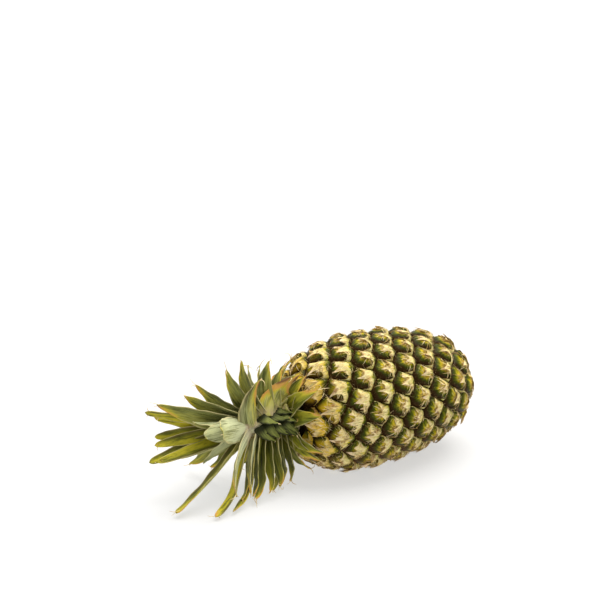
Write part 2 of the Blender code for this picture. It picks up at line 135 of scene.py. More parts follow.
def eye_wedges(outline, along, turn):
    """One wedge for each eye and each eye that it touches: the eye's number, its centre and two corners.
    Eyes touch where the hull of the centres on the ball has an edge, and corners are its faces' normals."""
    radii = np.interp(along, outline["arc"], outline["radii"])
    centres = np.concatenate([on_sphere(radii, turn), [[0.0, 0.0, -1.0], [0.0, 0.0, 1.0]]])
    bm = bmesh.new()
    for number, centre in enumerate(centres):
        bm.verts.new(centre).index = number
    bmesh.ops.convex_hull(bm, input=bm.verts)
    corners = {}
    for face in bm.faces:
        numbers = [v.index for v in face.verts]
        a, b, c = centres[numbers]
        corner = unit(np.cross(b - a, c - a))
        corner = corner * math.copysign(1.0, float(corner @ a))
        for pole, end in ((EYE_COUNT, outline["radii"][0]), (EYE_COUNT + 1, outline["radii"][-1])):
            if pole in numbers:
                corner = on_sphere(end, math.atan2(corner[1], corner[0]))
        corners[face] = corner
    eyes, middles, firsts, seconds = [], [], [], []
    for edge in bm.edges:
        first, second = (corners[face] for face in edge.link_faces)
        for vertex in edge.verts:
            if vertex.index >= EYE_COUNT:
                continue
            middle = centres[vertex.index]
            outward = float(np.linalg.det([middle, first, second]))
            pair = (first, second) if outward > 0 else (second, first)
            eyes.append(vertex.index)
            middles.append(middle)
            firsts.append(pair[0])
            seconds.append(pair[1])
    bm.free()
    return np.array(eyes), np.array(middles), np.array(firsts), np.array(seconds)


def from_ball(outline, along, turn, eyes, ball):
    """A place on the ball as arc length and turn, and as the way from its eye's centre: towards the
    crown and across."""
    radii = np.arctanh(np.clip(ball[..., 2], -0.999999, 0.999999))
    arc = np.interp(radii, outline["radii"], outline["arc"])
    angle = np.arctan2(ball[..., 1], ball[..., 0])
    swing = angle - turn[eyes]
    across = np.interp(arc, outline["arc"], outline["rho"]) * np.arctan2(np.sin(swing), np.cos(swing))
    return arc, angle, along[eyes] - arc, across


def eye_height(share, ahead, across, size, seed):
    """Height over the grooves: a dome that falls ever more steeply towards its groove, a little
    higher on the stalk side, with a dimple in the middle and a few soft bumps of its own."""
    cushion = np.clip(1 - share**CUSHION_FLATNESS, 0, 1) ** CUSHION_EDGE
    ahead, across = ahead / size, across / size
    lean = EYE_LEAN * np.clip(-ahead, -1, 1)
    dimple = DIMPLE_DEPTH * np.exp(-((ahead - DIMPLE_AHEAD) ** 2 + across**2) / DIMPLE_SPREAD)
    bumps = 0.07 * np.sin(5 * across + 9 * seed) * np.sin(6 * ahead + 17 * seed)
    dome = DOME_HEIGHT * cushion * (1 + lean - dimple + bumps)
    return (GROOVE_FILL + dome) * np.clip(size / FULL_SIZE, 0.3, 1.0)


def place_in_scene(name, data):
    made = bpy.data.objects.new(name, data)
    bpy.context.scene.collection.objects.link(made)
    return made


def add_surface(name, points, faces, attributes):
    """A mesh object from points and faces given as arrays. Points at the same place become one, so
    seams and poles are closed, and each attribute keeps its value at each face's corner."""
    microns = np.round(points / (0.001 * MM)).astype(np.int64)
    _, first, joined = np.unique(microns, axis=0, return_index=True, return_inverse=True)
    corner = faces.reshape(-1)
    merged = joined.reshape(-1)[corner].reshape(faces.shape)
    keep = merged != np.roll(merged, 1, axis=1)
    counts = keep.sum(axis=1)
    whole = counts >= 3
    keep &= whole[:, None]
    counts = counts[whole]
    picked = keep.reshape(-1)
    mesh = bpy.data.meshes.new(name)
    mesh.vertices.add(len(first))
    mesh.vertices.foreach_set("co", points[first].astype(np.float32).reshape(-1))
    mesh.loops.add(int(counts.sum()))
    mesh.loops.foreach_set("vertex_index", merged.reshape(-1)[picked].astype(np.int32))
    mesh.polygons.add(len(counts))
    starts = np.concatenate([[0], np.cumsum(counts)[:-1]])
    mesh.polygons.foreach_set("loop_start", starts.astype(np.int32))
    mesh.update(calc_edges=True)
    for key, values in attributes.items():
        layer = mesh.attributes.new(key, "FLOAT", "CORNER")
        layer.data.foreach_set("value", values.reshape(-1)[corner[picked]].astype(np.float32))
    mesh.shade_smooth()
    mesh.validate()
    return place_in_scene(name, mesh)


def grid_faces(sheets, rows, columns, ring=False):
    """The quads of sheets of rows by columns points, whose columns may close into a ring."""
    across = columns if ring else columns - 1
    row, column = np.meshgrid(np.arange(rows - 1), np.arange(across), indexing="ij")
    after = (column + 1) % columns
    low, high = row * columns, (row + 1) * columns
    quads = np.stack([low + column, low + after, high + after, high + column], axis=-1).reshape(-1, 4)
    return (quads[None] + (np.arange(sheets) * rows * columns)[:, None, None]).reshape(-1, 4)


outline = fruit_outline(FRUIT_RADIUS - EYE_HEIGHT)
along, turn = eye_centres(outline)
eyes, middles, firsts, seconds = eye_wedges(outline, along, turn)
chance = np.random.default_rng(5)
eye_seed = chance.uniform(0, 1, EYE_COUNT)

corner_way = from_ball(outline, along, turn, eyes, firsts)
eye_size = np.bincount(eyes, np.hypot(corner_way[2], corner_way[3])) / np.bincount(eyes)

edge_share = np.linspace(0, 1, EYE_EDGE_STEPS + 1)[None, None, :, None]
ring_share = (np.linspace(0, 1, EYE_RING_STEPS + 1) ** 0.8)[None, :, None, None]
rim = firsts[:, None, None] + (seconds - firsts)[:, None, None] * edge_share
ball = unit(middles[:, None, None] + (rim - middles[:, None, None]) * ring_share)
number = np.broadcast_to(eyes[:, None, None], ball.shape[:3])
arc, angle, ahead, across = from_ball(outline, along, turn, number, ball)
size = eye_size[number]
share = np.broadcast_to(ring_share[..., 0], arc.shape)
rounded = np.hypot(ahead, across) / size * 0.9
share = np.clip((share**CORNER_ROUNDING + rounded**CORNER_ROUNDING) ** (1 / CORNER_ROUNDING), 0, 1)
height = eye_height(share, ahead, across, size, eye_seed[number])
skin_points = fruit_point(outline, arc, angle, height)
skin_points[..., 2] = np.maximum(skin_points[..., 2], 0.0)
fruit_place = np.interp(arc, (0, outline["arc"][-1]), (0, 1))
skin_faces = grid_faces(len(eyes), EYE_RING_STEPS + 1, EYE_EDGE_STEPS + 1)


def end_fan(end):
    """The groove's points round an end of the fruit. From each a face reaches to the end's middle."""
    at_end = np.abs(arc[:, -1, :] - end) < 0.01 * MM
    wedge = np.nonzero(at_end.all(axis=1))[0]
    base = (wedge * (EYE_RING_STEPS + 1) + EYE_RING_STEPS) * (EYE_EDGE_STEPS + 1)
    return (base[:, None] + np.arange(EYE_EDGE_STEPS)).reshape(-1)


flat_points = skin_points.reshape(-1, 3)
fans, end_points = [], []
for end in (0.0, outline["arc"][-1]):
    first = end_fan(end)
    hub = np.full(len(first), len(flat_points) + len(end_points))
    fans.append(np.stack([first, hub, first + 1, first + 1], axis=1))
    end_points.append([np.interp(end, outline["arc"], outline["x"]), 0.0, AXIS_HEIGHT])
flat_points = np.concatenate([flat_points, end_points])


def with_ends(values):
    return np.concatenate([values.reshape(-1), np.ones(len(end_points)) * values.max()])


fruit = add_surface(
    "fruit_eyes",
    flat_points,
    np.concatenate([skin_faces, *fans]),
    {
        "share": with_ends(share),
        "ahead": with_ends(ahead / size),
        "across": with_ends(across / size),
        "seed": with_ends(eye_seed[number]),
        "place": with_ends(fruit_place),
    },
)


class Value:
    """What a shader node gives out. Sums and products of values add the nodes that work them out."""

    def __init__(self, socket):
        self.socket, self.tree = socket, socket.id_data

    def math(self, how, other=0.0):
        return value(self.tree, "Math", {0: self, 1: other}, operation=how)

    def __add__(self, other):
        return self.math("ADD", other)

    def __sub__(self, other):
        return self.math("SUBTRACT", other)

    def __mul__(self, other):
        return self.math("MULTIPLY", other)

    def band(self, low, high, to_low=0.0, to_high=1.0):
        """A soft step from low to high."""
        inputs = {"Value": self, "From Min": low, "From Max": high, "To Min": to_low, "To Max": to_high}
        return value(self.tree, "MapRange", inputs, interpolation_type="SMOOTHSTEP")


def fill(tree, made, inputs):
    """Gives a node its inputs: numbers are set on the socket itself, and other nodes' values are linked."""
    for key, given in inputs.items():
        if isinstance(given, Value):
            tree.links.new(given.socket, made.inputs[key])
        else:
            made.inputs[key].default_value = given
    return made


def node(tree, kind, inputs, **settings):
    made = tree.nodes.new("ShaderNode" + kind)
    for key, setting in settings.items():
        setattr(made, key, setting)
    return fill(tree, made, inputs)


def value(tree, kind, inputs, output=0, **settings):
    return Value(node(tree, kind, inputs, **settings).outputs[output])


def attributes(tree, *names):
    return [value(tree, "Attribute", {}, "Fac", attribute_name=name) for name in names]


def object_place(tree):
    return value(tree, "TexCoord", {}, "Object")


def blend(tree, factor, a, b):
    """Colour a, or colour b where the factor is 1."""
    a, b = ((*colour, 1.0) if isinstance(colour, tuple) else colour for colour in (a, b))
    return value(tree, "Mix", {0: factor, 6: a, 7: b}, 2, data_type="RGBA")


def lay(tree, colour, layers):
    """Colours laid over one another: each has the mask that it shows through, and its greatest share."""
    for above, mask, most in layers:
        colour = blend(tree, mask * most, colour, above)
    return colour


def ramp(tree, along, stops):
    """Colours at rising places of a value, each passing into the next."""
    made = node(tree, "ValToRGB", {0: along})
    row = made.color_ramp.elements
    for end, (place, colour) in ((row[0], stops[0]), (row[1], stops[-1])):
        end.position, end.color = place, (*colour, 1.0)
    for place, colour in stops[1:-1]:
        row.new(place).color = (*colour, 1.0)
    return Value(made.outputs[0])


def vector(tree, x, y=0.0, z=0.0):
    return value(tree, "CombineXYZ", {0: x, 1: y, 2: z})


def noise(tree, place, scale, detail=3.0, roughness=0.55):
    inputs = {"Vector": place, "Scale": scale, "Detail": detail, "Roughness": roughness}
    return value(tree, "TexNoise", inputs)


def new_group(name, inputs, outputs):
    """A node group whose named inputs and outputs are all single values."""
    group = bpy.data.node_groups.new(name, "ShaderNodeTree")
    for way, names in (("INPUT", inputs), ("OUTPUT", outputs)):
        for key in names:
            group.interface.new_socket(key, in_out=way, socket_type="NodeSocketFloat")
    given = group.nodes.new("NodeGroupInput").outputs
    return group, [Value(given[key]) for key in inputs], group.nodes.new("NodeGroupOutput")


# Plant fibre: fine threads that run along a piece, with a slower change of shade from place to place
fibre_group, (along_in, across_in, seed, count_in), wanted = new_group(
    "plant_fibre", ["Along", "Across", "Seed", "Threads"], ["Threads", "Tone"]
)
thread_place = vector(fibre_group, across_in * count_in, along_in * 1.6, seed * 40.0)
shade_place = vector(fibre_group, across_in * 1.5, along_in, seed * 70.0)
thread_noise = noise(fibre_group, thread_place, 1.0, 4.0)
fill(fibre_group, wanted, {"Threads": thread_noise, "Tone": noise(fibre_group, shade_place, 2.2)})


def fibres(tree, along, across, seed, count):
    inputs = {"Along": along, "Across": across, "Seed": seed, "Threads": count}
    given = node(tree, "Group", inputs, node_tree=fibre_group).outputs
    return Value(given["Threads"]), Value(given["Tone"])


# Weathering: dull patches and fine specks that any dry plant surface has, on Object coordinates
weather_group, sizes, wanted = new_group(
    "plant_weather", ["Patch Size", "Speck Size"], ["Patches", "Specks"]
)
where = object_place(weather_group)
patch_scale, speck_scale = (size_in.math("POWER", -1.0) for size_in in sizes)
patch_noise = noise(weather_group, where, patch_scale, 4.0)
speck_noise = noise(weather_group, where, speck_scale, 2.0, 0.7)
fill(weather_group, wanted, {"Patches": patch_noise, "Specks": speck_noise})


def weathering(tree, patch_size, speck_size):
    inputs = {"Patch Size": patch_size, "Speck Size": speck_size}
    given = node(tree, "Group", inputs, node_tree=weather_group).outputs
    return Value(given["Patches"]), Value(given["Specks"])


# The underside, made darker and browner towards the ground: 1 at the ground, and 0 from a little under the
# fruit's middle
UNDERSIDE_TOP = 45.0 * MM
underside_group, _, wanted = new_group("plant_underside", [], ["Share"])
above_ground = value(underside_group, "SeparateXYZ", {0: object_place(underside_group)}, 2)
fill(underside_group, wanted, {"Share": above_ground.band(UNDERSIDE_TOP, 0.0)})


def underside(tree):
    return value(tree, "Group", {}, node_tree=underside_group)


def new_material(name):
    material = bpy.data.materials.new(name)
    material.use_nodes = True
    tree = material.node_tree
    return material, tree, tree.nodes["Principled BSDF"]


def surface(tree, shader, colour, roughness, specular, relief, depth):
    """Gives a shader its looks, with bumps of the given depth where the relief is 1."""
    bump = value(tree, "Bump", {"Height": relief, "Distance": depth, "Strength": 1.0})
    looks = {"Base Color": colour, "Roughness": roughness, "Specular IOR Level": specular, "Normal": bump}
    fill(tree, shader, looks)


OCHRE = (0.86, 0.62, 0.09)
OLIVE_YELLOW = (0.60, 0.47, 0.010)
OLIVE = (0.190, 0.190, 0.006)
LEAF_GREEN = (0.074, 0.086, 0.004)
BOTTLE_GREEN = (0.032, 0.040, 0.003)
GROOVE_PURPLE = (0.030, 0.013, 0.002)
CREAM = (0.96, 0.83, 0.40)
CRUMB_BROWN = (0.150, 0.070, 0.025)
CRUST_TAN = (0.26, 0.19, 0.08)
SUN_YELLOW = (0.84, 0.52, 0.02)

skin, tree, shader = new_material("eye_leather")
way_ahead, way_across, share_in, seed, place = attributes(tree, "ahead", "across", "share", "seed", "place")
# fibres run out from the dry dimple in the eye's middle
off_ahead = way_ahead - DIMPLE_AHEAD
off_dimple = vector(tree, off_ahead, way_across)
from_dimple = value(tree, "VectorMath", {0: off_dimple}, "Value", operation="LENGTH")
thread, shade = fibres(tree, share_in, way_across.math("ARCTAN2", off_ahead * -1.0), seed, 5.0)
patch, speck = weathering(tree, 9 * MM, 1.1 * MM)
# green grows from the middle to the groove, sooner on the crown side; the darkening on one flank is painted
# shade, on the flank that faces down on the eyes in view
depth = share_in + way_ahead * 0.20 + way_across * 0.30 + (shade - 0.5) * 0.60 + (thread - 0.5) * 0.55
rising_green = (
    (0.16, OCHRE), (0.38, OLIVE_YELLOW), (0.53, OLIVE),
    (0.64, LEAF_GREEN), (0.78, BOTTLE_GREEN), (1.0, GROOVE_PURPLE),
)
groove = share_in.band(0.91, 0.99)
body = lay(
    tree,
    ramp(tree, depth, rising_green),
    (
        (CREAM, depth.band(0.62, 0.20) * thread.band(0.50, 0.62), 0.85),
        (SUN_YELLOW, (place + patch * 0.12).band(0.26, 0.08) * share_in.band(0.92, 0.55), 0.7),
        (CRUMB_BROWN, from_dimple.band(0.42, 0.12) * speck.band(0.40, 0.56), 0.8),
        (GROOVE_PURPLE, groove, 1.0),
        (CRUST_TAN, speck.band(0.57, 0.70), 0.45),
        (CRUMB_BROWN, underside(tree), 0.5),
    ),
)
dullness = depth.band(0.25, 0.6, 0.66, 0.36).math("MAXIMUM", groove * 0.9)
relief = thread * share_in.band(0.8, 0.25, 0.15, 1.0) + speck * 0.35
surface(tree, shader, body, dullness, 0.05, relief, 1.0 * MM)

fruit.data.materials.append(skin)
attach(fruit, "root")
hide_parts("fruit")

# Each eye keeps the bract that its flower grew behind: a papery scale, rooted in the groove on the
# stalk side, that hugs the eye's rim with two horns and lays one dry, pointed tip across its middle.

BRACT_ACROSS = 41
BRACT_ALONG = 7
BRACT_THICKNESS = 0.35 * MM
HORN_ANGLE = math.radians(112)
BRACT_TURN = 0.10  # the bracts sit a little round from the stalk side, in radians
ROOT_SHARE = 0.97
LIP_HALF_WIDTH = 0.76
LIP_LIMIT = 0.80
TIP_SIDE = 0.05
TIP_SPREAD = 0.10
SPLITS = 7
GROOVE_ANGLES = 72
RIM_STEPS = 8


def cell_edges(eyes, ahead, across):
    """For each eye, the way from its centre to its groove at even angles from the stalk side."""
    angles = np.linspace(-math.pi, math.pi, GROOVE_ANGLES + 1)
    reach, facing = np.hypot(ahead, across), np.arctan2(across, -ahead)
    table = []
    for number in range(EYE_COUNT):
        own = np.nonzero(eyes == number)[0]
        own = own[np.argsort(facing[own])]
        table.append(np.interp(angles, facing[own], reach[own], period=math.tau))
    return np.array(table)


rim_share = (np.arange(RIM_STEPS) / RIM_STEPS)[None, :, None]
rim_ball = unit(firsts[:, None] + (seconds - firsts)[:, None] * rim_share)
rim_number = np.broadcast_to(eyes[:, None], rim_ball.shape[:2])
rim_way = from_ball(outline, along, turn, rim_number, rim_ball)
edge_reach = cell_edges(rim_number.reshape(-1), rim_way[2].reshape(-1), rim_way[3].reshape(-1))


def groove_reach(eye, facing):
    """The way from an eye's centre to its groove, at an angle from the stalk side."""
    step = (facing + math.pi) / math.tau * GROOVE_ANGLES
    low = np.clip(np.floor(step).astype(int), 0, GROOVE_ANGLES - 1)
    part = step - low
    return edge_reach[eye, low] * (1 - part) + edge_reach[eye, low + 1] * part


def on_eye(eye, ahead, across, lift):
    """A point over an eye, from its way towards the crown and across, in metres, and its lift."""
    facing = np.arctan2(across, -ahead)
    share = np.clip(np.hypot(ahead, across) / groove_reach(eye, facing), 0, 1)
    height = eye_height(share, ahead, across, eye_size[eye], eye_seed[eye]) + lift
    arc = along[eye] - ahead
    rho = np.interp(arc, outline["arc"], outline["rho"])
    return fruit_point(outline, arc, turn[eye] + across / rho, height)


def each_eye(draw, first, second, *more):
    return draw(first, second, (EYE_COUNT, 1, 1, *more))


side_share = np.linspace(-1, 1, BRACT_ACROSS)[None, :, None]
rise_share = np.linspace(0, 1, BRACT_ALONG)[None, None, :]
eye = np.arange(EYE_COUNT)[:, None, None]
size = eye_size[:, None, None]
# near the neck the tips are longer
neck_spike = np.interp(along, (0, 0.035, 0.08), (1.0, 0.6, 0.0))[:, None, None]
facing = side_share * HORN_ANGLE + BRACT_TURN
whole_eye = np.broadcast_to(eye, (EYE_COUNT, BRACT_ACROSS, 1))
root_reach = groove_reach(whole_eye, np.broadcast_to(facing, whole_eye.shape)) * ROOT_SHARE
root_ahead, root_across = -root_reach * np.cos(facing), root_reach * np.sin(facing)
# the lip's shape, in eye sizes: a hollow line with one long tip, and horns at its two ends
tip_long = each_eye(chance.uniform, 0.45, 0.95) + 0.45 * neck_spike
tip_bent = each_eye(chance.normal, 0, 0.12)
hollow = each_eye(chance.uniform, -0.30, -0.04) + 0.16 * neck_spike
lip_across = np.sin(side_share * math.pi / 2) * LIP_HALF_WIDTH
spike = np.exp(-np.abs(lip_across - TIP_SIDE) / TIP_SPREAD)
# beside the long tip the lip is torn into shorter points and notches
split_at = each_eye(chance.uniform, -0.62, 0.62, SPLITS)
split_wide = each_eye(chance.uniform, 0.03, 0.07, SPLITS)
split_long = each_eye(chance.uniform, -0.24, 0.40, SPLITS)
splits = (split_long * np.exp(-np.abs(lip_across[..., None] - split_at) / split_wide)).sum(-1)
slant = each_eye(chance.normal, -0.28, 0.08)
lip_ahead = hollow + 0.45 * np.abs(lip_across) ** 2.2 + slant * lip_across + tip_long * spike + splits
lip_ahead = np.minimum(lip_ahead, LIP_LIMIT - np.abs(lip_across))
lip_across = lip_across * (1 - 0.25 * spike) + tip_bent * spike
meet = np.abs(side_share) ** 7
lip_ahead = lip_ahead * size * (1 - meet) + root_ahead * meet
lip_across = lip_across * size * (1 - meet) + root_across * meet
bract_ahead = root_ahead + (lip_ahead - root_ahead) * rise_share
bract_across = root_across + (lip_across - root_across) * rise_share
# it starts under the skin, lies close, and lifts and curls where it is loose
scale = np.clip(size / FULL_SIZE, 0.35, 1.0)
curl = each_eye(chance.uniform, 0.3, 1.6)
loose = np.clip(spike + np.clip(splits, 0, 1) * 2, 0, 1)
lift = (-0.9 + 1.4 * rise_share**0.4 + 0.6 * curl * rise_share**4) * MM * (1 - 0.6 * meet)
lift = lift + (1.0 + 1.2 * curl) * MM * loose * rise_share**3
lift = lift + 0.35 * MM * np.sin(side_share * 17 + 20 * eye_seed[:, None, None]) * rise_share**2
thin = BRACT_THICKNESS * (1 - 0.5 * rise_share)
outer = on_eye(eye, bract_ahead, bract_across, lift * scale)
inner = on_eye(eye, bract_ahead, bract_across, lift * scale - thin)


def shell_faces(sheets, rows, columns):
    """Quads of two skins and the wall between their edges. The points are all outer skins, then all
    inner ones."""
    front = grid_faces(sheets, rows, columns)
    back = front[:, ::-1] + sheets * rows * columns
    border = np.concatenate(
        [
            np.arange(columns),
            np.arange(1, rows) * columns + columns - 1,
            (rows - 1) * columns + np.arange(columns - 2, -1, -1),
            np.arange(rows - 2, 0, -1) * columns,
        ]
    )
    after = np.roll(border, -1)
    start = (np.arange(sheets) * rows * columns)[:, None]
    a, b = border[None] + start, after[None] + start
    shift = sheets * rows * columns
    wall = np.stack([b, a, a + shift, b + shift], axis=-1).reshape(-1, 4)
    return np.concatenate([front, back, wall])


def turned_out(made):
    """Faces recalculated to point outwards, on a mesh whose doubles are merged."""
    bm = bmesh.new()
    bm.from_mesh(made.data)
    bmesh.ops.recalc_face_normals(bm, faces=bm.faces)
    bm.to_mesh(made.data)
    bm.free()


bract_points = np.concatenate([outer.reshape(-1, 3), inner.reshape(-1, 3)])
bract_points[:, 2] = np.maximum(bract_points[:, 2], 0.05 * MM)


def twice(values):
    whole = np.broadcast_to(values, (EYE_COUNT, BRACT_ACROSS, BRACT_ALONG)).reshape(-1)
    return np.concatenate([whole, whole])


bracts = add_surface(
    "bracts",
    bract_points,
    shell_faces(EYE_COUNT, BRACT_ACROSS, BRACT_ALONG),
    {
        "ahead": twice(bract_ahead / size),
        "across": twice(bract_across / size),
        "rise": twice(rise_share),
        "spike": twice(loose),
        "seed": twice(eye_seed[:, None, None]),
        "place": twice(np.interp(along, (0, outline["arc"][-1]), (0, 1))[:, None, None]),
    },
)
turned_out(bracts)

BRACT_GREEN = (0.50, 0.50, 0.10)
BRACT_CREAM = (0.90, 0.79, 0.37)
BRACT_STRAW = (0.68, 0.46, 0.09)
# dark for fibre streaks, and for painted shade at the bract's root
BRACT_DARK_FIBRE_AND_SHADE = (0.16, 0.12, 0.010)
BRACT_ROSE = (0.95, 0.73, 0.49)
BRACT_BROWN = (0.26, 0.12, 0.04)

paper, tree, shader = new_material("bract_paper")
way_ahead, way_across, rise, spike_in = attributes(tree, "ahead", "across", "rise", "spike")
seed, place = attributes(tree, "seed", "place")
thread, shade = fibres(tree, way_ahead, way_across, seed, 22.0)
patch, speck = weathering(tree, 7 * MM, 0.8 * MM)
# the scale dries from its root to its lip
dry = rise + (shade - 0.5) * 1.3
drying = ((0.12, BRACT_GREEN), (0.56, BRACT_CREAM), (0.85, BRACT_CREAM), (1.0, BRACT_STRAW))
# how much painted shade darkens the root: less on the horns than in the middle
horns = way_across.math("ABSOLUTE").band(0.5, 0.8, 0.6, 0.15)
scale_colour = lay(
    tree,
    ramp(tree, dry, drying),
    (
        (SUN_YELLOW, (place + patch * 0.12).band(0.27, 0.10) * dry.band(1.10, 0.50), 0.85),
        (BRACT_STRAW, thread.band(0.52, 0.64), 0.75),
        (BRACT_DARK_FIBRE_AND_SHADE, thread.band(0.47, 0.37), 0.85),
        (BRACT_ROSE, spike_in * rise.band(0.55, 1.0), 1.0),
        (BRACT_BROWN, (patch + underside(tree) * 0.14).band(0.54, 0.68), 0.8),
        # painted shade: the bract's root, where it dips into the groove, is darkened, less so on its horns
        (BRACT_DARK_FIBRE_AND_SHADE, rise.band(0.12, 0.0) * horns, 1.0),
    ),
)
surface(tree, shader, scale_colour, 0.62, 0.06, thread, 0.8 * MM)

bracts.data.materials.append(paper)
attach(bracts, "root")

# Where a bract dries it frays: flat pale splinters fan out over the middle of the eye towards the
# crown, and thin curled hairs stand off its margin.


def threads(path, up, wide, thick, corners):
    """Closed threads round paths: a ring of corners at each point, so wide to either side and so thick
    to either face. The first and the last ring have no width, so both ends close."""
    heading = unit(np.gradient(path, axis=1))
    beside = unit(np.cross(heading, up))
    above = np.cross(beside, heading)
    spin = np.linspace(0, math.tau, corners, endpoint=False)
    out = beside[:, :, None] * (wide[..., None] * np.cos(spin))[..., None]
    rise = above[:, :, None] * (thick[..., None] * np.sin(spin))[..., None]
    return path[:, :, None] + out + rise


def frayed(count, start, length, spread, bend, rise_high, wide, thick, corners, steps=7):
    """Threads over the eyes: count on each, from a starting line out, so long in eye sizes, fanned
    about the crown's direction, and lifted more and more towards their ends. Lifts and widths are in
    millimetres."""
    shape = (EYE_COUNT * count, 1)
    eye = np.repeat(np.arange(EYE_COUNT), count)[:, None]
    t = np.linspace(0, 1, steps)[None]
    length = chance.uniform(*length, shape)
    fan = chance.normal(0, spread, shape)
    from_ahead, from_across = start(shape, fan)
    turned = fan + bend * chance.normal(0, 1, shape) * t
    ahead = (from_ahead + length * t * np.cos(turned)) * eye_size[eye]
    across = (from_across + length * t * np.sin(turned)) * eye_size[eye]
    scale = np.clip(eye_size[eye] / FULL_SIZE, 0.35, 1.0)
    lift = (0.5 + rise_high * chance.uniform(0.2, 1, shape) * t**1.6) * MM * scale
    path = on_eye(np.broadcast_to(eye, ahead.shape), ahead, across, lift)
    up = unit((path - [0.0, 0.0, AXIS_HEIGHT]) * [0.25, 1, 1])
    taper = np.sqrt(np.clip(4 * t * (1 - t), 0, 1)) * (1.15 - t)
    random_wide = chance.uniform(0.6, 1.3, shape) * scale * MM
    points = threads(path, up, wide * random_wide * taper, thick * random_wide * taper, corners)
    points[..., 2] = np.maximum(points[..., 2], 0.1 * MM)
    return points


def from_lip(shape, fan):
    return chance.uniform(-0.45, 0.05, shape), 0.25 * np.sin(fan) + chance.normal(0, 0.10, shape)


def from_margin(shape, fan):
    round_eye = chance.uniform(-1.9, 1.9, shape)
    return -0.72 * np.cos(round_eye), 0.72 * np.sin(round_eye)


def add_threads(name, points):
    sheets, rows, corners = points.shape[:3]
    rise = np.broadcast_to(np.linspace(0, 1, rows)[None, :, None], points.shape[:3])
    seed = np.broadcast_to(chance.uniform(0, 1, (sheets, 1, 1)), points.shape[:3])
    faces = grid_faces(sheets, rows, corners, ring=True)
    made = add_surface(name, points.reshape(-1, 3), faces, {"rise": rise, "seed": seed})
    turned_out(made)
    return made


splinters = frayed(
    16, from_lip, length=(0.22, 0.80), spread=0.80, bend=0.35, rise_high=1.8,
    wide=0.38, thick=0.16, corners=4,
)
splinters = add_threads("bract_splinters", splinters)
hairs = frayed(
    22, from_margin, length=(0.20, 0.70), spread=1.1, bend=1.0, rise_high=2.6,
    wide=0.13, thick=0.13, corners=3,
)
hairs = add_threads("bract_hairs", hairs)

FIBRE_PALE = (0.94, 0.77, 0.42)
FIBRE_TAN = (0.58, 0.37, 0.12)

straw, tree, shader = new_material("dry_fibre")
seed, rise = attributes(tree, "seed", "rise")
patch, speck = weathering(tree, 8 * MM, 0.7 * MM)
colour = blend(tree, (seed * 0.6 + patch * 0.9).band(0.62, 1.0), FIBRE_PALE, FIBRE_TAN)
colour = lay(tree, colour, ((BRACT_BROWN, rise.band(0.75, 1.0), 0.5),))
surface(tree, shader, colour, 0.7, 0.1, speck, 0.2 * MM)

for piece in (splinters, hairs):
    piece.data.materials.append(straw)
    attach(piece, "root")

# The crown is a short stem that goes on growing past the fruit, with its leaves set close round it.
# The leaves are stiff, fibrous troughs with a pale waxy bloom. Their tips and margins dry to brown.

STEM_NECK_RADIUS = 15.0 * MM
STEM_TOP_RADIUS = 7.0 * MM
ROOT_FIRST = 9.5 * MM
ROOT_SPAN = 45.0 * MM
NECK_CLEARANCE = 7.0 * MM
EYE_CLEARANCE = 11.5 * MM
GROUND_CLEARANCE = 1.5 * MM
LANDING_HEIGHT = 16.0 * MM
SWERVE_AT_ROOT = 0.7
BEND_POWER = 0.3  # the bend grows as this power of the way along
GLIDE = 0.2  # how much a leaf that lands turns ahead and outwards
LEVEL_AT_GROUND = 0.35
BLUNT_TIPS = 0.12  # a strap's tip stays this much wider for each step of taper over 2
LEAF_STEPS = 24
RIB_THICKNESS = 2.4 * MM
RIB_NEAR_TIP = 1.3 * MM
EDGE_THICKNESS = 0.6 * MM
TIP_HALF_WIDTH = 0.8 * MM
LEAF_SEED = 280
LEAF_COLUMNS = 10
TIP_ROUNDING = 0.045  # the last share of a blade, which rounds off to its tip
WAVE_SHARE = 0.035
RIPPLE_HEIGHT = 0.45 * MM
RIB_WIDTH = 0.05
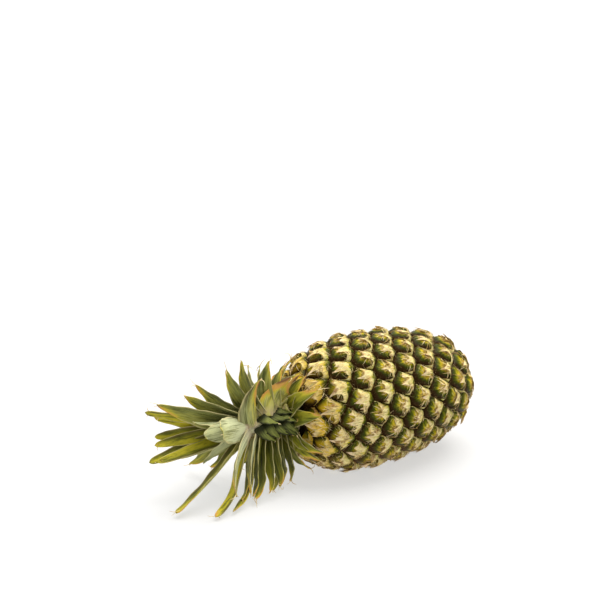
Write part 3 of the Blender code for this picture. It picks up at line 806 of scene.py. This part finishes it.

# Each group of leaves: how many and their looks, then the first and the last leaf's value of each measure.
# The looks are the bloom, the dryness, the yellow of one half, and how much painted shade darkens the gaps
# between scales.
# rank is 0 at the neck and 1 at the heart. turn is round the axis, 90 upwards and 180 to -Y. start is the
# lean from straight ahead at the root, end the lean at the tip, and swerve the turn to one side, which is
# mostly at the root. These four are in degrees, and length and width in millimetres. taper is 1 for a
# triangle and more for a strap. root is the share of the stem's radius where the leaf starts.
LEAF_MEASURES = ("rank", "turn", "length", "width", "start", "end", "swerve", "taper", "sag", "root")
LEAF_LOOKS = ("bloom", "dry", "yellow", "gap_shade")
LEAF_GROUPS = {
    "collar": (
        (12, 0.0, 0.55, 0.35, 0),
        (0.0, 60, 40, 22, 92, 165, 0, 1.5, 0.0, 0.7),
        (0.06, 1572, 46, 22, 86, 150, 0, 1.5, 0.1, 0.7),
    ),
    "ladder_high": (
        (4, -0.28, -0.3, 0, 1.0),
        (0.06, 126, 17, 16, 22, 34, 128, 1.7, 0.0, 1.0),
        (0.56, 126, 17, 16, 22, 34, 128, 1.7, 0.0, 1.0),
    ),
    "ladder_low": (
        (5, -0.28, -0.3, 0, 1.0),
        (0.04, 158, 17, 16, 22, 34, 124, 1.7, 0.0, 1.0),
        (0.66, 158, 17, 16, 22, 34, 124, 1.7, 0.0, 1.0),
    ),
    "broad": (
        (3, -0.06, 1.0, 0.8, 0),
        (0.02, 120, 40, 28, 34, 75, -160, 1.3, 0.0, 0.9),
        (0.84, 153, 46, 28, 20, 62, -90, 1.3, 0.0, 0.9),
    ),
    "upper": (
        (7, 0.24, 0.35, 0.3, 0),
        (0.2, 85, 40, 23, 70, 125, 42, 1.8, 0.0, 0.45),
        (0.92, 26, 79, 22, 9, 22, 24, 2.6, 0.1, 0.45),
    ),
    "comb": (
        (8, -0.32, 0.3, 0.25, 0),
        (0.1, 240, 55, 21, 87, 107, 0, 2.4, 0.3, 0.45),
        (0.66, 235, 62, 19, 56, 74, 0, 3.0, 0.3, 0.45),
    ),
    "comb_front": (
        (2, 0.65, 0.5, 0.3, 0),
        (0.66, 224, 57, 15, 52, 92, 0, 2.6, 0.1, 0.45),
        (0.80, 214, 76, 17, 38, 73, 0, 2.6, 0.1, 0.45),
    ),
    "long": (
        (3, -0.1, 0.3, 1.0, 0),
        (0.72, 232, 76, 12, 72, 66, 0, 3.2, 0.2, 0.45),
        (0.92, 236, 102, 18, 41, 34, 0, 4.4, 0.2, 0.45),
    ),
    "under": (
        (4, 0.1, 0.3, 0.4, 0),
        (0.2, 290, 48, 18, 80, 110, 0, 2.0, 0.2, 0.45),
        (0.85, 325, 62, 16, 45, 60, 0, 3.0, 0.2, 0.45),
    ),
    "far": (
        (8, 0.25, 0.35, 0.3, 0),
        (0.16, 40, 50, 20, 80, 120, 0, 1.6, 0.1, 0.45),
        (0.8, -40, 76, 18, 42, 60, 0, 2.6, 0.2, 0.45),
    ),
    "young": (
        (6, 0, 0, 0.85, 0),
        (0.84, 31, 83, 13, 19, 30, 0, 4.2, 0.05, 0.45),
        (0.95, -70, 78, 13, 13, 16, 0, 4.4, 0.1, 0.45),
    ),
    "heart_left": (
        (3, 0.95, -0.35, 0.1, 0),
        (0.9, 220, 46, 23, 14, 26, 0, 4.4, 0.0, 0.6),
        (0.96, 75, 53, 20, 9, 21, 0, 2.4, 0.0, 0.6),
    ),
    "heart_front": (
        (2, 0.92, -0.1, 0.35, 0),
        (0.92, 152, 48, 24, 22, 53, 0, 4.0, 0.0, 0.7),
        (1.0, 20, 37, 20, 20, 40, 0, 2.0, 0.0, 0.5),
    ),
}


def leaf_shapes():
    """Each group's leaves, spread evenly between its first and its last, with a small seeded scatter."""
    rng = np.random.default_rng(LEAF_SEED)
    groups = LEAF_GROUPS.values()
    rows = np.concatenate([np.linspace(first, last, looks[0]) for looks, first, last in groups])
    shape = dict(zip(LEAF_MEASURES, rows.T))
    looks = np.concatenate([np.tile(looks[1:], (looks[0], 1)) for looks, first, last in groups])
    shape.update(zip(LEAF_LOOKS, looks.T))
    count = len(shape["rank"])
    shape["turn"] = np.radians(shape["turn"] + rng.normal(0, 5, count))
    shape["start"] = np.radians(shape["start"])
    shape["end"] = np.radians(shape["end"] + rng.normal(0, 7, count))
    shape["length"] = shape["length"] * MM * rng.uniform(0.9, 1.1, count)
    shape["width"] = shape["width"] * MM * rng.uniform(0.92, 1.08, count)
    shape["swerve"] = np.radians(shape["swerve"] + rng.normal(0, 8, count))
    return shape


def half_width(shape, share):
    """Half the blade's width: full at the root, falling to the tip as a power of the way along."""
    blunt = np.clip(BLUNT_TIPS * (shape["taper"] - 2), 0, 1)
    return np.maximum(shape["width"] / 2 * (1 - (1 - blunt) * share ** shape["taper"]), TIP_HALF_WIDTH)


def keep_clear(place, side, width):
    """Pushes points out along the fruit's outline until a leaf there lies over the eyes and bracts."""
    over = place - [0, 0, AXIS_HEIGHT]
    off_axis = np.maximum(np.hypot(over[:, 1], over[:, 2]), 0.001 * MM)
    x, rho = outline["x"][::10], outline["rho"][::10]
    x = np.concatenate([[x[0], x[0]], x])
    rho = np.concatenate([[0.0, NECK_RADIUS / 2], rho])
    nearest = np.argmin((place[:, 0, None] - x) ** 2 + (off_axis[:, None] - rho) ** 2, axis=1)
    normal = unit(np.stack([-np.gradient(rho)[nearest], np.gradient(x)[nearest]], axis=1))
    offset = np.stack([place[:, 0] - x[nearest], off_axis - rho[nearest]], axis=1)
    steep = np.interp(rho[nearest], (0.7 * NECK_RADIUS, 1.2 * NECK_RADIUS), (0, 1))
    wanted = NECK_CLEARANCE + (EYE_CLEARANCE - NECK_CLEARANCE) * steep
    turned = over[:, 1:] / off_axis[:, None] * normal[:, 1, None]
    edge_reach = np.abs(side[:, 0] * normal[:, 0] + (side[:, 1:] * turned).sum(1)) * width
    short = np.maximum(wanted + edge_reach - (offset * normal).sum(1), 0.0)
    grow = (off_axis + normal[:, 1] * short) / off_axis
    moved_x = place[:, 0] + normal[:, 0] * short
    return np.stack([moved_x, over[:, 1] * grow, over[:, 2] * grow + AXIS_HEIGHT], axis=1)


def square_to(side, heading):
    return unit(side - (side * heading).sum(-1, keepdims=True) * heading)


def leaf_paths(shape):
    """The midribs and the blades' sideways directions, step by step: each leaf leans out from the
    crown's axis, bends back, swerves and sags, settles on the ground where it meets it, and keeps clear
    of the fruit's shoulder."""
    turn = shape["turn"]
    flat = np.zeros_like(turn)
    outward = np.stack([flat, np.cos(turn), np.sin(turn)], axis=1)
    side = np.stack([flat, -np.sin(turn), np.cos(turn)], axis=1)
    ahead = np.array([-1.0, 0.0, 0.0])
    lean = shape["start"][:, None]
    yaw = SWERVE_AT_ROOT * shape["swerve"][:, None]
    level = ahead * np.cos(yaw) + side * np.sin(yaw)
    heading = outward * np.sin(lean) + level * np.cos(lean)
    side = side * np.cos(yaw) - ahead * np.sin(yaw)
    stem = np.interp(shape["rank"], (0, 1), (STEM_NECK_RADIUS, STEM_TOP_RADIUS))
    place = outward * (stem * shape["root"])[:, None]
    place[:, 0] = outline["x"][0] - ROOT_FIRST - ROOT_SPAN * shape["rank"]
    place[:, 2] += AXIS_HEIGHT
    step = shape["length"][:, None] / LEAF_STEPS
    path, sides = [place], [side]
    for number in range(LEAF_STEPS):
        share = (number + 0.5) / LEAF_STEPS
        bend = (shape["end"] - shape["start"]) * (1 + BEND_POWER) * share**BEND_POWER / LEAF_STEPS
        veer = (1 - SWERVE_AT_ROOT) * shape["swerve"] * 2 * (1 - share) / LEAF_STEPS
        inner = np.cross(side, heading)
        heading = heading - inner * bend[:, None] + side * veer[:, None]
        heading[:, 2] -= shape["sag"] * 2 * share / LEAF_STEPS
        heading = unit(heading)
        width = half_width(shape, share)
        rest = width * np.abs(side[:, 2]) + GROUND_CLEARANCE
        above = place[:, 2] - rest
        landing = -above / LANDING_HEIGHT
        level = heading[:, :2] + GLIDE * (ahead[:2] + outward[:, :2])
        level = unit(level) * np.sqrt(np.clip(1 - landing**2, 0, 1))[:, None]
        settled = np.concatenate([level, landing[:, None]], axis=1)
        heading = np.where((landing > heading[:, 2])[:, None], settled, heading)
        near = np.clip(1 - above / LANDING_HEIGHT, 0, 1)
        side = side * np.stack([flat + 1, flat + 1, 1 - LEVEL_AT_GROUND * near], axis=1)
        side = square_to(side, heading)
        place = keep_clear(place + heading * step, side, width)
        place[:, 2] = np.maximum(place[:, 2], rest)
        path.append(place)
        sides.append(side)
    return np.stack(path, axis=1), np.stack(sides, axis=1)


def with_halfways(path):
    """Twice as many steps: each new point is the four-point mean (-1, 9, 9, -1) / 16 of its neighbours."""
    ends = np.concatenate([2 * path[:, :1] - path[:, 1:2], path, 2 * path[:, -1:] - path[:, -2:-1]], axis=1)
    middle = (9 * (ends[:, 1:-2] + ends[:, 2:-1]) - ends[:, :-3] - ends[:, 3:]) / 16
    whole = np.empty((path.shape[0], path.shape[1] * 2 - 1, 3))
    whole[:, ::2], whole[:, 1::2] = path, middle
    return whole


shape = leaf_shapes()
path, sides = leaf_paths(shape)
path, sides = with_halfways(path), with_halfways(sides)
leaf_count, stations = path.shape[:2]
heading = unit(np.gradient(path, axis=1))
side = square_to(sides, heading)
inward = np.cross(side, heading)
share = np.linspace(0, 1, stations)
width = np.stack([half_width(shape, s) for s in share], axis=1)
# both ends close in one point
near_end = np.clip((share - 1 + TIP_ROUNDING) / TIP_ROUNDING, 0, 1)
width = width * np.sqrt(1 - near_end**2)
width[:, 0] = 0
leaf_seed = np.random.default_rng(8).uniform(0, 1, leaf_count)
width = width * (1 + WAVE_SHARE * np.sin(share[None] * 31 + leaf_seed[:, None] * 40) * share)
# the blade's halves are folded up from the rib, most at the root
fold = np.radians(np.interp(share, (0, 0.3, 1), (32, 24, 10)))
column = np.sin(np.linspace(-math.pi / 2, math.pi / 2, LEAF_COLUMNS + 1))
# the trough is a fold whose bottom is rounded over the rib
trough = np.sqrt(column**2 + RIB_WIDTH)
trough = (trough - math.sqrt(RIB_WIDTH)) / (math.sqrt(1 + RIB_WIDTH) - math.sqrt(RIB_WIDTH)) - 0.5
ripple = np.sin(share[:, None] * 24 + leaf_seed[:, None, None] * 60 + column * 1.5)
ripple = RIPPLE_HEIGHT * ripple * column**2
blade = (
    path[:, :, None]
    + side[:, :, None] * (width * np.cos(fold))[:, :, None, None] * column[:, None]
    + inward[:, :, None] * (width * np.sin(fold))[:, :, None, None] * trough[:, None]
    + inward[:, :, None] * (ripple * np.sqrt(share)[:, None])[..., None]
)
rib = np.interp(share, (0, 0.7, 1), (RIB_THICKNESS, RIB_NEAR_TIP, EDGE_THICKNESS))[:, None]
thick = EDGE_THICKNESS + (rib - EDGE_THICKNESS) * (1 - np.abs(column)) ** 1.4
thick = thick / 2 * np.sqrt(np.clip((1 - share) / 0.03, 0, 1))[:, None]
thick[0] = 0
upper = blade + inward[:, :, None] * thick[None, :, :, None]
lower = blade - inward[:, :, None] * thick[None, :, :, None]
ring = np.concatenate([upper, lower[:, :, ::-1]], axis=2)
ring[..., 2] = np.maximum(ring[..., 2], 0.2 * MM)
columns = ring.shape[2]


def round_leaf(values):
    return np.broadcast_to(values, (leaf_count, stations, columns))


leaf_attributes = {
    "along": round_leaf(share[:, None]),
    "across": round_leaf(np.concatenate([column, column[::-1]])),
    "breadth": round_leaf(width[:, :, None] / (10 * MM)),
    "reach": round_leaf(share[:, None] * shape["length"][:, None, None] / (10 * MM)),
    "under": round_leaf(np.repeat([0.0, 1.0], LEAF_COLUMNS + 1)),
    "seed": round_leaf(leaf_seed[:, None, None]),
    **{look: round_leaf(shape[look][:, None, None]) for look in LEAF_LOOKS},
}
leaf_faces = grid_faces(leaf_count, stations, columns, ring=True)
leaves = add_surface("crown_leaves", ring.reshape(-1, 3), leaf_faces, leaf_attributes)
turned_out(leaves)

# Past its tip many a leaf has dried to a thread or two. They are bare fibres that the blade's softer
# tissue has shrunk away from, still grown to it, and they curl as they dry.

CURLS_A_LEAF = 2
CURL_STEPS = 12
CURL_HALF_WIDTH = 0.42 * MM
CURL_ROOT = -4  # the station near the tip where a curl is rooted
SPILL = 2.0 * MM  # how far a curl may reach past the modelled parts

curled = np.repeat(np.arange(leaf_count), CURLS_A_LEAF)
each_curl = (len(curled), 1)
chance = np.random.default_rng(12)
curl_length = chance.uniform(4, 13, each_curl) * MM * np.clip(shape["dry"][curled, None] + 0.6, 0, 1)
curl_turn = chance.normal(0, 2.6, each_curl)
curl_share = np.linspace(0, 1, CURL_STEPS)[None]
curl_angle = (curl_turn * curl_share)[..., None]
curl_root, root_side, root_inward, along_way = (
    way[curled, CURL_ROOT] for way in (path, side, inward, heading)
)
across_way = unit(root_side * chance.normal(0, 1, each_curl) + root_inward)[:, None]
along_way = along_way[:, None]
curl_heading = along_way * np.cos(curl_angle) + across_way * np.sin(curl_angle)
curl_step = (curl_length / (CURL_STEPS - 1))[..., None]
off_rib = width[curled, CURL_ROOT, None] * chance.uniform(-0.6, 0.6, each_curl)
curl_start = curl_root + root_side * off_rib
curl_path = curl_start[:, None] + np.cumsum(curl_heading, axis=1) * curl_step
curl_wide = CURL_HALF_WIDTH * (1 - curl_share) ** 0.5 * np.minimum(1, curl_share * 8) + 0 * curl_length
curl_up = np.cross(along_way, across_way) + 0 * curl_path
curl_points = threads(curl_path, curl_up, curl_wide, curl_wide, 3)
curl_points[..., 2] = np.maximum(curl_points[..., 2], 0.2 * MM)
low_corner, high_corner = np.array(cad_box[0]) - SPILL, np.array(cad_box[1]) + SPILL
inside = ((curl_points > low_corner) & (curl_points < high_corner)).all(axis=(1, 2, 3))
curls = add_threads("leaf_curls", curl_points[inside])
curls.data.materials.append(straw)
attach(curls, "root")

# The stem inside the crown shows only between the leaves' bases. It tapers to its growing tip, and its
# surface is ridged by the leaf bases that it carries.

STEM_LENGTH = 60.0 * MM
STEM_ROWS = 25
STEM_COLUMNS = 32

stem_share = np.linspace(0, 1, STEM_ROWS)[:, None]
stem_turn = np.linspace(0, math.tau, STEM_COLUMNS + 1)[None, :-1]
stem_radius = STEM_NECK_RADIUS + (STEM_TOP_RADIUS - STEM_NECK_RADIUS) * stem_share
stem_radius = stem_radius + 0.5 * MM * np.sin(5 * stem_turn + 30 * stem_share)
stem_radius = np.where((stem_share > 0) & (stem_share < 1), stem_radius, 0)
stem_x = outline["x"][0] - 0.3 * MM - STEM_LENGTH * stem_share


def round_axis(x, radius, turn):
    """Points round the fruit's axis, in rows along it."""
    x = x + 0 * turn
    return np.stack([x, radius * np.cos(turn), radius * np.sin(turn) + AXIS_HEIGHT], axis=-1).reshape(-1, 3)


zero = np.zeros((STEM_ROWS, STEM_COLUMNS))
stem_looks = {
    "along": 0.1,
    "across": np.sin(3 * stem_turn),
    "breadth": 1.0,
    "reach": stem_share * 6,
    "under": 1.0,
    "seed": 0.5,
    "bloom": 0.6,
    "dry": 0.0,
    "yellow": 0.0,
    "gap_shade": 0.0,
}
stem = add_surface(
    "crown_stem",
    round_axis(stem_x, stem_radius, stem_turn),
    grid_faces(1, STEM_ROWS, STEM_COLUMNS, ring=True),
    {key: zero + look for key, look in stem_looks.items()},
)
turned_out(stem)

LEAF_DARK = (0.045, 0.058, 0.006)
LEAF_LIGHT = (0.240, 0.268, 0.030)
LEAF_BLOOM = (0.700, 0.730, 0.430)
LEAF_EDGE = (0.720, 0.620, 0.300)
LEAF_YELLOW = (0.640, 0.560, 0.035)
LEAF_ORANGE = (0.720, 0.390, 0.090)
LEAF_BROWN = (0.230, 0.120, 0.050)
LEAF_ROSE = (0.560, 0.400, 0.300)
# painted shade for the gaps between scales
LEAF_GAP_SHADE = (0.020, 0.024, 0.006)

blade_skin, tree, shader = new_material("leaf_blade")
along_in, across_in, breadth, reach = attributes(tree, "along", "across", "breadth", "reach")
under, seed, bloom, dry, yellow, gap_shade = attributes(tree, "under", "seed", *LEAF_LOOKS)
from_rib, long_way = across_in * breadth, reach * 0.28
vein, shade = fibres(tree, long_way, from_rib, seed, 24.0)
broad_vein, broad_shade = fibres(tree, long_way, from_rib, seed, 8.0)
patch, speck = weathering(tree, 14 * MM, 1.4 * MM)
tone = vein * 0.5 + broad_vein * 0.5 + (shade - 0.5) * 0.35
off_rib = across_in.math("ABSOLUTE")
edge = off_rib.band(0.55, 1.0)
mottle = broad_shade.band(0.34, 0.56, 0.25, 1.0)
# one half of a folded blade is yellower than the other, which is duller and browner
half = across_in * (seed * 40.0).math("SINE").math("SIGN")
waxy = (bloom + under * 0.40) * along_in.band(1.0, 0.10, 0.40, 1.0) * tone.band(0.36, 0.56, 0.25, 1.0)
# a blade dries from its tip, through yellow and orange to brown
tip = along_in + edge * 0.05 + (broad_shade - 0.5) * 0.45 + (vein - 0.5) * 0.35
tip = tip + dry * 0.38 + dry * half * 0.35
green = lay(
    tree,
    ramp(tree, tone, ((0.38, LEAF_DARK), (0.64, LEAF_LIGHT))),
    (
        (LEAF_YELLOW, half.band(-0.70, 0.20) * yellow * mottle, 1.0),
        (LEAF_BROWN, half.band(-0.4, -0.8) * yellow, 0.35),
        (LEAF_BLOOM, waxy.math("MINIMUM", 0.94), 1.0),
        (LEAF_ROSE, along_in.band(0.30, 0.02) * patch.band(0.50, 0.62), 0.6),
        (LEAF_EDGE, off_rib.band(0.84, 0.96) * mottle, 0.65),
        (LEAF_YELLOW, tip.band(0.90, 1.16), 1.0),
        (LEAF_ORANGE, tip.band(1.02, 1.22), 1.0),
        (LEAF_BROWN, (tip + along_in * 0.5).band(1.66, 1.90), 1.0),
        # painted shade in the gaps between scales: the edges and the base of a blade are darkened
        (LEAF_GAP_SHADE, gap_shade * edge.math("MAXIMUM", along_in.band(0.45, 0.15)), 1.0),
        (LEAF_BROWN, speck.band(0.62, 0.74), 0.3),
    ),
)
surface(tree, shader, green, waxy.band(0.2, 0.9, 0.45, 0.70), 0.14, vein + broad_vein * 0.8, 0.6 * MM)

for piece in (leaves, stem):
    piece.data.materials.append(blade_skin)
    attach(piece, "root")
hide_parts("crown")

# The stalk that bore the fruit was cut across close to it. It is woody, with fibres that show as dots
# on the cut face, and it has dried to brown.

STALK_LENGTH = 13.0 * MM
STALK_RADIUS = 10.0 * MM
STALK_ROWS = 33
STALK_COLUMNS = 64
END_SHARE = 0.15  # the profile's share up to the hidden end's rim
SIDE_SHARE = 0.60  # and up to the cut's rim

row = np.linspace(0, 1, STALK_ROWS)[:, None]
turn_row = np.linspace(0, math.tau, STALK_COLUMNS + 1)[None, :-1]
# the profile runs from the hidden end's middle, along the side, and over the worn edge to the cut's middle
side_part = np.clip((row - END_SHARE) / (SIDE_SHARE - END_SHARE), 0, 1)
face_part = np.clip((row - SIDE_SHARE) / (1 - SIDE_SHARE), 0, 1)
ridges = 0.25 * MM * np.sin(11 * turn_row + 4 * side_part) + 0.15 * MM * np.sin(27 * turn_row)
stalk_radius = (STALK_RADIUS * (1 - 0.06 * side_part) + ridges - 0.3 * MM) * np.clip(row / END_SHARE, 0, 1)
stalk_radius = stalk_radius * (1 - face_part)
rough_cut = 0.35 * MM * (np.sin(9 * turn_row + 20 * face_part) * np.sin(face_part * math.pi) - 1)
worn_edge = 0.5 * MM * (1 - face_part) ** 8
stalk_x = STALK_LENGTH * side_part + (rough_cut - worn_edge) * (face_part > 0)
socket_x = outline["x"][-1] + 0.3 * MM
stalk = add_surface(
    "stalk_end",
    round_axis(socket_x + stalk_x, stalk_radius, turn_row),
    grid_faces(1, STALK_ROWS, STALK_COLUMNS, ring=True),
    {
        "cut": (face_part > 0.02) + 0.0 * turn_row,
        "spoke": stalk_radius / STALK_RADIUS,
        "round": np.abs(turn_row - math.pi) + 0.0 * row,
    },
)
turned_out(stalk)

STALK_WOOD = (0.42, 0.30, 0.15)
STALK_DOTS = (0.20, 0.12, 0.06)
STALK_RIM = (0.24, 0.15, 0.07)
STALK_BARK = (0.17, 0.13, 0.05)
STALK_STREAKS = (0.30, 0.24, 0.10)

wood, tree, shader = new_material("stalk_fibre")
cut, spoke, round_in = attributes(tree, "cut", "spoke", "round")
thread, shade = fibres(tree, spoke, round_in, 0.3, 9.0)
patch, speck = weathering(tree, 5 * MM, 0.9 * MM)
bark = blend(tree, thread.band(0.35, 0.65), STALK_BARK, STALK_STREAKS)
flesh = blend(tree, speck.band(0.45, 0.62), STALK_WOOD, STALK_DOTS)
flesh = blend(tree, spoke.band(0.70, 0.95), flesh, STALK_RIM)
surface(tree, shader, blend(tree, cut, bark, flesh), 0.85, 0.5, speck, 0.6 * MM)

stalk.data.materials.append(wood)
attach(stalk, "root")
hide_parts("stalk")

# The studio: a wide pale sheet that glows a little, one soft light from high behind on the right, and
# light from all round. The camera stands at the photograph's angle.

SHEET_HALF = 30.0
SHEET_GREY = (0.32, 0.32, 0.325, 1.0)
SHEET_GLOW = 0.57
LIGHT_ALL_ROUND = 0.57
KEY_STRENGTH = 4.05
KEY_COLOUR = (1.0, 0.975, 0.93)
KEY_ANGLE = math.radians(60)
KEY_RIGHT, KEY_AWAY = 0.20, 0.35
AZIMUTH, ELEVATION, DISTANCE = math.radians(-31.0), math.radians(20.0), 1.5
FOCAL_PIXELS = 1667.0  # the focal length that gives the photograph's perspective, in its 600 pixels
PHOTO_PIXELS = 600
SENSOR_WIDTH = 36.0
AIM_X, AIM_DROP = 0.030, 1.0 * MM
PIXELS_RIGHT, PIXELS_DOWN = 86, 94  # where the aim lies in the photograph, from its middle


floor_mesh = bpy.data.meshes.new("studio_floor")
corners = [(x * SHEET_HALF, y * SHEET_HALF, 0) for x, y in ((-1, -1), (1, -1), (1, 1), (-1, 1))]
floor_mesh.from_pydata(corners, [], [(0, 1, 2, 3)])
floor = place_in_scene("studio_floor", floor_mesh)
white, tree, shader = new_material("white_sheet")
sheet_looks = {
    "Base Color": SHEET_GREY,
    "Emission Color": (1.0, 1.0, 0.99, 1.0),
    "Emission Strength": SHEET_GLOW,
    "Roughness": 0.9,
    "Specular IOR Level": 0.1,
}
fill(tree, shader, sheet_looks)
floor_mesh.materials.append(white)

world = bpy.data.worlds.new("studio_light")
bpy.context.scene.world = world
world.use_nodes = True
world_light = {"Color": (1.0, 1.0, 1.0, 1.0), "Strength": LIGHT_ALL_ROUND}
fill(world.node_tree, world.node_tree.nodes["Background"], world_light)

level = math.cos(ELEVATION)
back = Vector((math.sin(AZIMUTH) * level, -math.cos(AZIMUTH) * level, math.sin(ELEVATION)))
right = Vector((math.cos(AZIMUTH), math.sin(AZIMUTH), 0.0))
above = back.cross(right)
away = Vector((-back.x, -back.y, 0.0)).normalized()

key = bpy.data.lights.new("key_light", "SUN")
key.energy, key.color, key.angle = KEY_STRENGTH, KEY_COLOUR, KEY_ANGLE
key_light = place_in_scene("key_light", key)
key_way = KEY_RIGHT * right + KEY_AWAY * away + Vector((0.0, 0.0, 1.0))
key_light.rotation_euler = key_way.to_track_quat("Z", "Y").to_euler()

camera_data = bpy.data.cameras.new("camera")
camera_data.sensor_width = SENSOR_WIDTH
camera_data.lens = SENSOR_WIDTH * FOCAL_PIXELS / PHOTO_PIXELS
camera = place_in_scene("camera", camera_data)
metres_a_pixel = DISTANCE / FOCAL_PIXELS
aim = Vector((AIM_X, 0.0, AXIS_HEIGHT - AIM_DROP))
aim = aim + (above * PIXELS_DOWN - right * PIXELS_RIGHT) * metres_a_pixel
view = Matrix((right, above, back)).transposed().to_4x4()
view.translation = aim + back * DISTANCE
camera.matrix_world = view
bpy.context.scene.camera = camera
bpy.context.scene.view_settings.view_transform = "Standard"
